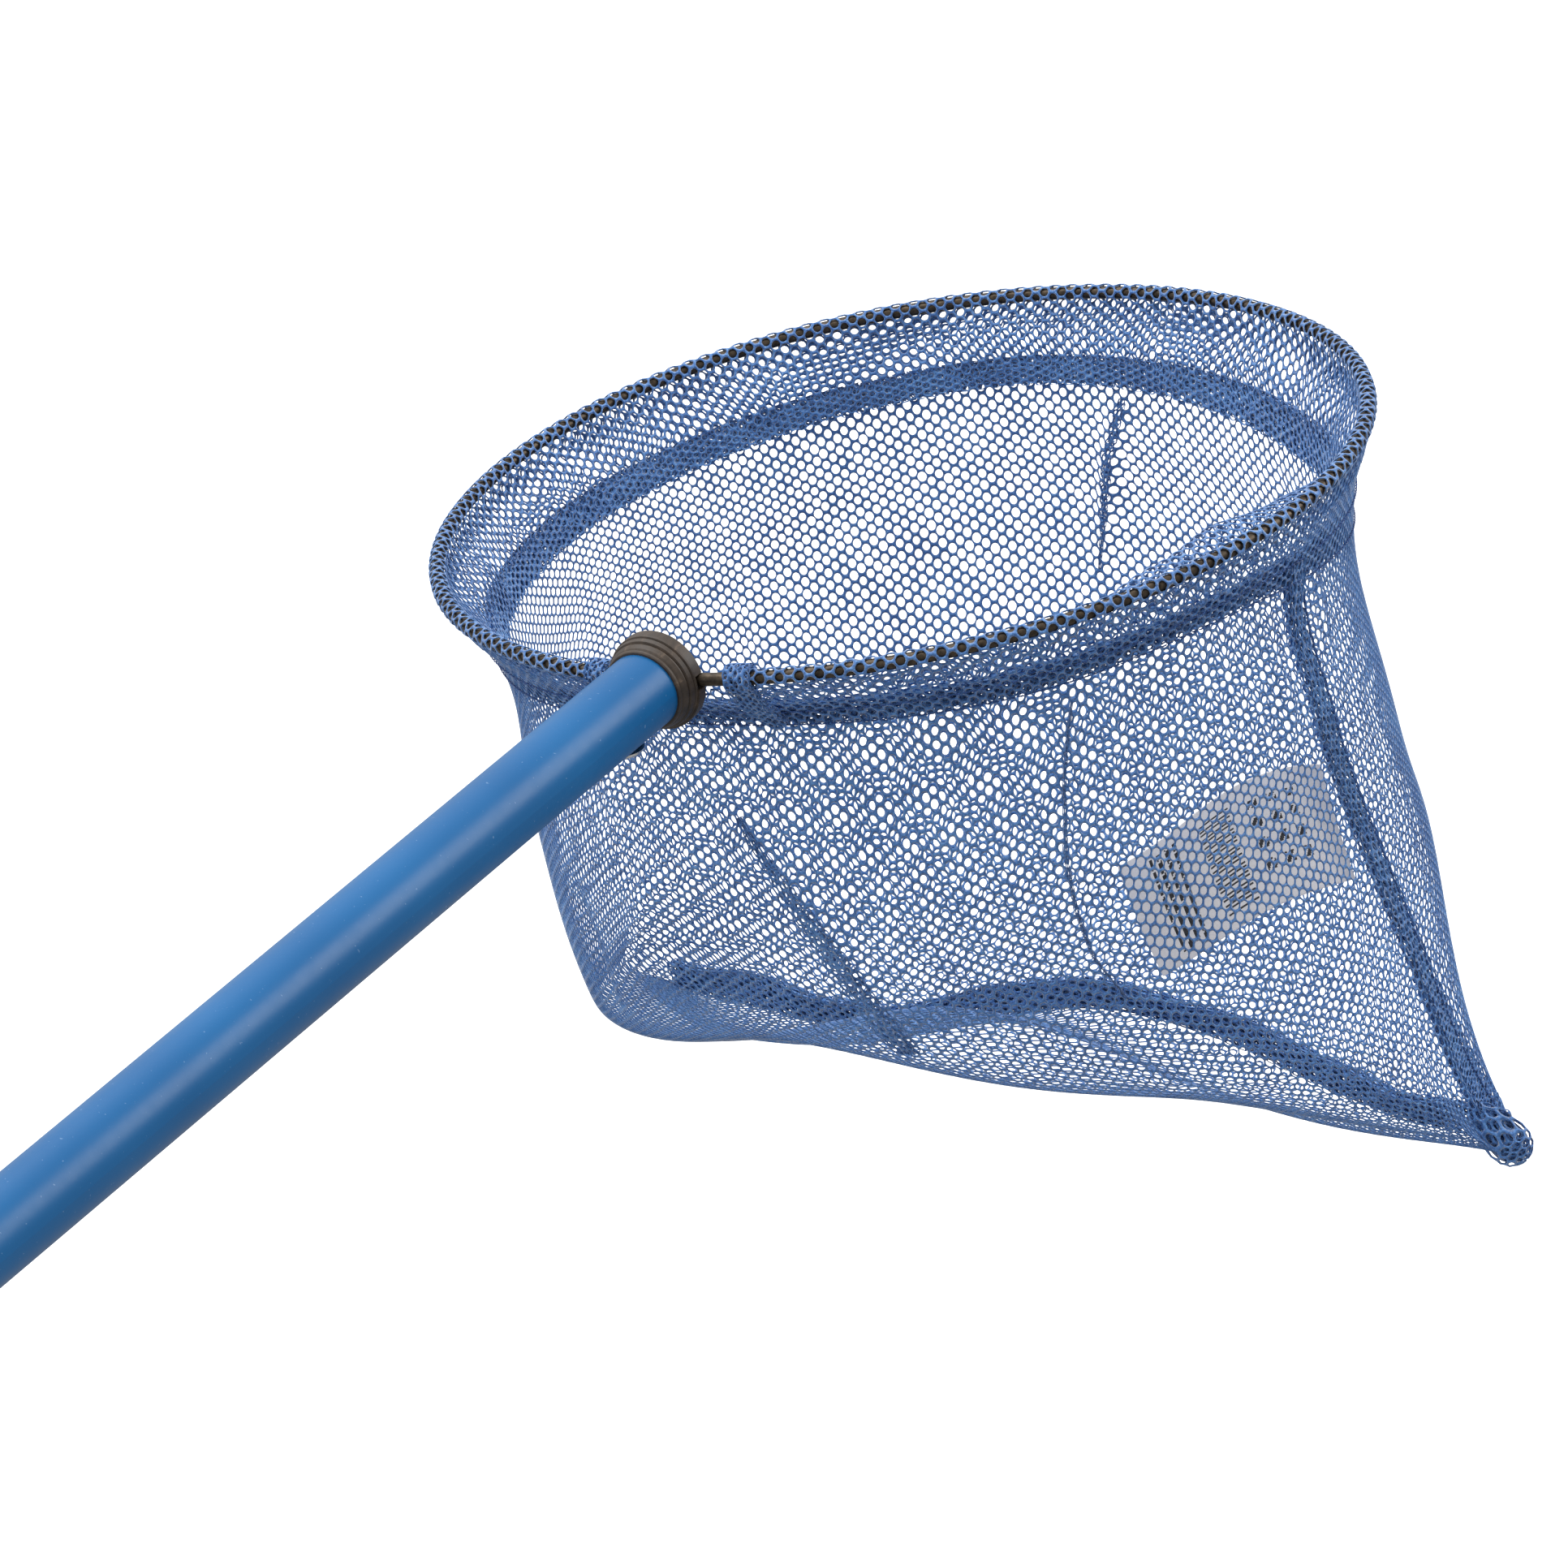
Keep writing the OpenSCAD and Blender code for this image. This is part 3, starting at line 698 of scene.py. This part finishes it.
def make_bottom_seam():
    """The bottom seam stands up inside the bag, and leans to one side and the other along its length."""
    s = np.linspace(SEAM_FROM, 0.99, 170)
    top = 9
    rise = np.linspace(top, top - BOTTOM_SEAM_W, 9)
    lean = 1.2 * np.sin(s * 23) + 0.8 * np.sin(s * 51)
    lean_height = 6     # height at which the seam leans over by the whole lean
    move = np.broadcast_arrays(0.0, rise * lean[:, None] / lean_height, rise)
    sheet = Sheet(blunted(keel(s)[:, None, :] + np.stack(move, axis=-1)), 12)
    dense_band("bottom_seam_netting", sheet, BOTTOM_SEAM_L, BOTTOM_SEAM_W, (1.4, 0.7, 0, -0.7, -1.4),
               ["bottom_seam"])


THREAD_R = 0.22
STITCH_SIDES = 6
# Rings of one stitch: place along it, height off the netting, and size. It dives in at both ends
STITCH_RINGS = [(0.06, -0.1, 0.5), (0.25, 0.18, 1.0), (0.75, 0.18, 1.0), (0.94, -0.1, 0.5)]


def stitch_mesh(name, rows):
    """Short thread stitches laid end to end. rows holds (points, normals) of each line of stitching."""
    sides, last = STITCH_SIDES, len(STITCH_RINGS) - 1
    points, faces = [], []
    for line, normals in rows:
        for a, b, up in zip(line[:-1], line[1:], normals):
            along = (b - a) / np.linalg.norm(b - a)
            side = np.cross(along, up)
            start = len(points) * sides
            for place, rise, size in STITCH_RINGS:
                centre = a + (b - a) * place + up * rise
                turn = np.radians(np.arange(sides) * 360 / sides)[:, None]
                points.append(centre + THREAD_R * size * (np.cos(turn) * side + np.sin(turn) * up))
            for ring in range(last):
                for s in range(sides):
                    p, q = start + ring * sides + s, start + ring * sides + (s + 1) % sides
                    faces.append((p, q, q + sides, p + sides))
            faces.append(tuple(start + s for s in range(sides))[::-1])
            faces.append(tuple(start + last * sides + s for s in range(sides)))
    mesh = bpy.data.meshes.new(name)
    mesh.from_pydata(((np.concatenate(points) + HOOP_CENTRE) * MM).tolist(), [], faces)
    mesh.shade_smooth()
    return mesh


def stitching(name, rows, node):
    piece(name, stitch_mesh(name, rows), "net", THREAD, [node])


def make_stitching():
    """Two rows round the hem, one down the side seam and one under the bottom seam."""
    off = 0.4       # height of the thread's line off the bag's surface
    u = np.linspace(1, 359, 345)
    rows = []
    for depth in (CASING_DROP - HEM_W + 1, CASING_DROP - 1.2):
        v = np.full(len(u), level_at(depth))
        rows.append((lifted(u, v, np.full(len(u), off)), cloth_normal(u, v)))
    stitching("hem_stitches", rows, "hem_stitching")
    v = np.linspace(0.1, 0.97, 84)
    u = seam_line(v) + 1.6
    stitching("side_stitches", [(lifted(u, v, np.full(len(u), off)), cloth_normal(u, v))], "side_stitching")
    line = keel(np.linspace(SEAM_FROM, 0.95, 120)) - (0, 0, 0.9)
    down = np.tile((0.0, 0.0, -1.0), (len(line), 1))
    stitching("bottom_stitches", [(line, down)], "bottom_stitching")


BUNCH_WIDE = 3.2      # degrees round the hoop that each bunched end takes
BUNCH_PITCH = (1.6, 2.4)
BUNCH_HOLE = (0.62, 0.8)
BUNCH_RADII = (2.9, 3.5, 4.1)     # of its layers round the wire


def make_casing_ends():
    """The bunched ends of the casing, round the wire and down to the hem."""
    columns, rows = 5, 16
    angle = np.radians(np.linspace(265, -75, 40))
    leg_v = np.linspace(level_at(6), level_at(CASING_DROP - 2), 16)
    wide, deep = (columns + PART_COLUMN) * BUNCH_PITCH[0], (rows + PART_ROW) * BUNCH_PITCH[1]
    parts = []
    for start in (SLEEVE_START, SLEEVE_START + SLEEVE_SWEEP - BUNCH_WIDE):
        for layer, r in enumerate(BUNCH_RADII):
            lines = []
            for turn in np.radians(start + np.linspace(0, BUNCH_WIDE, 12)):
                out = HOOP_R + r * np.cos(angle)
                ring = np.stack([out * math.cos(turn), out * math.sin(turn), r * np.sin(angle)], axis=1)
                leg = lifted(math.degrees(turn), leg_v, np.full(len(leg_v), 0.8 + 0.9 * layer))
                lines.append(np.concatenate([ring, leg]))
            sheet = Sheet(np.array(lines), 80)

            def place(x, y, up, sheet=sheet):
                return sheet.at(x / wide, y / deep, up)
            parts.append(netting(place, 0, columns, rows, BUNCH_PITCH, BUNCH_HOLE, GATHER_STRAND, 0.14))
    mesh = netting_mesh("casing_end_gathers", parts)
    piece("casing_end_gathers", mesh, "net", NETTING, ["casing_ends"])


# ---- the label ------------------------------------------------------------------------------

LABEL_L, LABEL_W = 84, 36
LABEL_DROP = 88       # depth of its upper edge below the hoop
LABEL_GAP = 5         # how far inside the netting it hangs
LABEL_THICK = 0.3
LABEL_SEWN_U = 357.5  # where it is sewn in, in degrees round the hoop


def make_label():
    """The care label: one soft strip from the side seam, with plain bars printed on it."""
    turn = math.degrees(LABEL_L / (HOOP_R - WAIST_IN))
    cols, rows = 168, 72
    top, bottom = level_at(LABEL_DROP), level_at(LABEL_DROP + LABEL_W)
    a, b = np.meshgrid(np.linspace(0, 1, cols + 1), np.linspace(0, 1, rows + 1), indexing="ij")
    u = LABEL_SEWN_U - turn * (1 - a)
    v = top + (bottom - top) * b
    wave = 1.1 * np.sin(7 * a + 1.5 * b) * (1 - a) + 0.8 * np.sin(11 * a - 2 * b) * a * (1 - a)
    sides = [lifted(u, v, -1 - LABEL_GAP - thick + wave).reshape(-1, 3) for thick in (0, LABEL_THICK)]
    row, half = rows + 1, (cols + 1) * (rows + 1)
    faces, inked = [], []
    for i in range(cols):
        for j in range(rows):
            p = i * row + j
            q = half + p
            faces += [(p, p + row, p + row + 1, p + 1), (q, q + 1, q + row + 1, q + row)]
            inked += [printed(i * LABEL_L / cols, j * LABEL_W / rows), False]
    outline = [i * row for i in range(cols)] + [cols * row + j for j in range(rows)]
    outline += [i * row + rows for i in range(cols, 0, -1)] + [j for j in range(rows, 0, -1)]
    for p, q in zip(outline, outline[1:] + outline[:1]):
        faces.append((p, p + half, q + half, q))
        inked.append(False)
    mesh = bpy.data.meshes.new("label_ribbon")
    mesh.from_pydata(((np.concatenate(sides) + HOOP_CENTRE) * MM).tolist(), [], faces)
    mesh.shade_smooth()
    o = piece("label_ribbon", mesh, "label", label_material(), ["care_label"])
    mesh.materials.append(label_ink_material())
    mesh.polygons.foreach_set("material_index", np.array(inked, int))


def printed(x, y):
    """Whether the label is inked at x mm from its free end and y mm from its upper edge: plain bars only."""
    block = 9 < x < 21 and 3 < y < 33 and int(x / 1.5) % 2 == 0 and int(y * 1.7 + x) % 7 > 0
    ladder = 28 < x < 41 and 4 < y < 32 and (int(y * 2) * 7) % 5 < 2
    dashes = 46 < x < 70 and 6 < y < 30 and int(x / 4) % 2 == 0 and int(y / 3) % 2 == 0 and int(x + y) % 3 > 0
    return block or ladder or dashes


# ---- camera, floor and light ----------------------------------------------------------------

def make_camera():
    """The camera looks along the photograph's view: from in front, to the right of the handle and above."""
    data = bpy.data.cameras.new("camera")
    data.sensor_width = 36
    data.lens = 167.7
    data.clip_end = 50
    o = bpy.data.objects.new("camera", data)
    bpy.context.scene.collection.objects.link(o)
    azimuth, elevation, roll = math.radians(35.45), math.radians(23.325), math.radians(-12.29)
    forward = Vector((-math.sin(azimuth) * math.cos(elevation), math.cos(azimuth) * math.cos(elevation),
                      -math.sin(elevation)))
    distance = 2.116
    aim_off = (-23.85, -55.86, -73.46)      # from the hoop's centre to the place the camera looks at
    aim = Vector(((HOOP_CENTRE + aim_off) * MM).tolist())
    turned = forward.to_track_quat("-Z", "Y").to_matrix() @ Matrix.Rotation(roll, 3, "Z")
    o.matrix_world = Matrix.Translation(aim - forward * distance) @ turned.to_4x4()
    bpy.context.scene.camera = o


def area_light(name, place, aim, size, power):
    data = bpy.data.lights.new(name, "AREA")
    data.shape, data.size, data.size_y, data.energy = "RECTANGLE", size[0], size[1], power
    o = bpy.data.objects.new(name, data)
    bpy.context.scene.collection.objects.link(o)
    o.location = place
    o.rotation_euler = (Vector(aim) - Vector(place)).to_track_quat("-Z", "Y").to_euler()


LIGHT_FROM = (-0.4, -0.05, 0.91)    # where the studio is brightest


def make_world():
    """Soft light from a bright ceiling that falls off towards the floor and the front."""
    world = bpy.data.worlds.new("studio")
    world.use_nodes = True
    tree = world.node_tree
    background = tree.nodes["Background"]
    background.inputs["Color"].default_value = (1, 1, 1, 1)
    coord = tree.nodes.new("ShaderNodeTexCoord")
    facing = tree.nodes.new("ShaderNodeVectorMath")
    facing.operation = "DOT_PRODUCT"
    facing.inputs[1].default_value = LIGHT_FROM
    spread = tree.nodes.new("ShaderNodeMapRange")
    spread.interpolation_type = "SMOOTHSTEP"
    for name, value in (("From Min", -0.35), ("From Max", 1.0), ("To Min", 0.42), ("To Max", 1.05)):
        spread.inputs[name].default_value = value
    tree.links.new(coord.outputs["Generated"], facing.inputs[0])
    tree.links.new(facing.outputs["Value"], spread.inputs["Value"])
    tree.links.new(spread.outputs["Result"], background.inputs["Strength"])
    bpy.context.scene.world = world


def make_stage():
    """A pale floor, two soft lights, and colours shown as they are."""
    mesh = bpy.data.meshes.new("floor")
    half, low = 8.0, -0.75
    mesh.from_pydata([(-half, -half, low), (half, -half, low), (half, half, low), (-half, half, low)], [],
                     [(0, 1, 2, 3)])
    floor = bpy.data.objects.new("floor", mesh)
    bpy.context.scene.collection.objects.link(floor)
    m = Nodes("floor_pale")
    m.set(Base_Color=(0.9, 0.9, 0.9, 1), Roughness=0.9, Emission_Color=(1, 1, 1, 1), Emission_Strength=0.45)
    mesh.materials.append(m.material)
    floor.visible_diffuse = floor.visible_glossy = False
    centre = (0.0, HOOP_Y * MM, 0.0)
    area_light("ceiling", (-0.8, 0.8, 2.8), centre, (2.6, 2.6), 56)
    area_light("side_card", (1.25, 1.75, 0.72), (0.0, 0.3, 0.0), (1.1, 1.0), 14)
    bpy.context.scene.view_settings.view_transform = "Standard"


make_camera()
make_world()
make_stage()
paint_nodes()
make_bag()
make_casing()
make_hem()
make_side_seam()
make_bottom_seam()
make_casing_ends()
make_stitching()
make_label()
